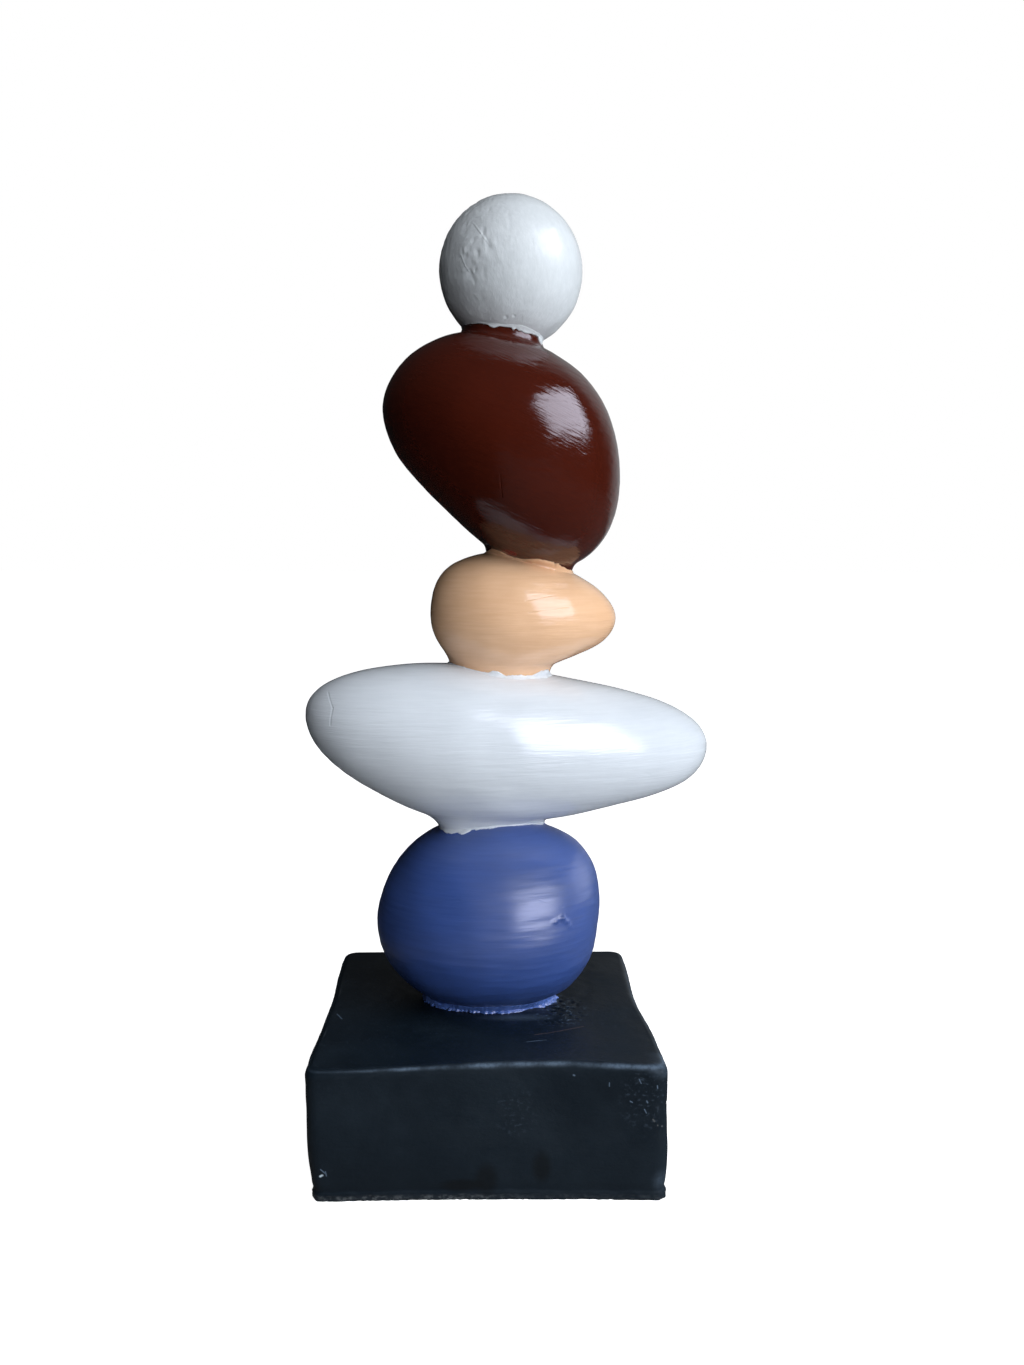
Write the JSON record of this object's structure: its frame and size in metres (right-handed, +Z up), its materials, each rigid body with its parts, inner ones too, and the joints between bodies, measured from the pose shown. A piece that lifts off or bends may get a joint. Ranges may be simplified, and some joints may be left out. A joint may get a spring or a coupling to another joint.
{
  "type": "painted balanced-stone sculpture",
  "caption": "Decorative cairn: painted cast stones of different shapes balanced in a stack, topped by a ball, on a square black block.",
  "frame": {"origin": "middle of the block's flat underside", "axes": "+Z up through the stack; +X along the block's front face, to the right seen from the front; +Y from the front face to the back"},
  "size_m": [0.1536, 0.1232, 0.3474],
  "materials": {
    "block_paint": "matt blue-black paint on a cast block, lighter where worn along the top edge",
    "blue_paint": "satin blue paint with brush strokes",
    "white_paint": "gloss cool white paint with brush strokes",
    "peach_paint": "gloss peach paint with faint brush strokes",
    "brown_paint": "high gloss dark red-brown paint with fine brush strokes",
    "ball_paint": "gloss white paint over a dented, pitted cast surface"
  },
  "bodies": {
    "root": {"plinth": "block_paint", "blue_stone": "blue_paint", "long_white_stone": "white_paint", "peach_stone": "peach_paint", "brown_stone": "brown_paint", "white_ball": "ball_paint"}
  },
  "joints": []
}
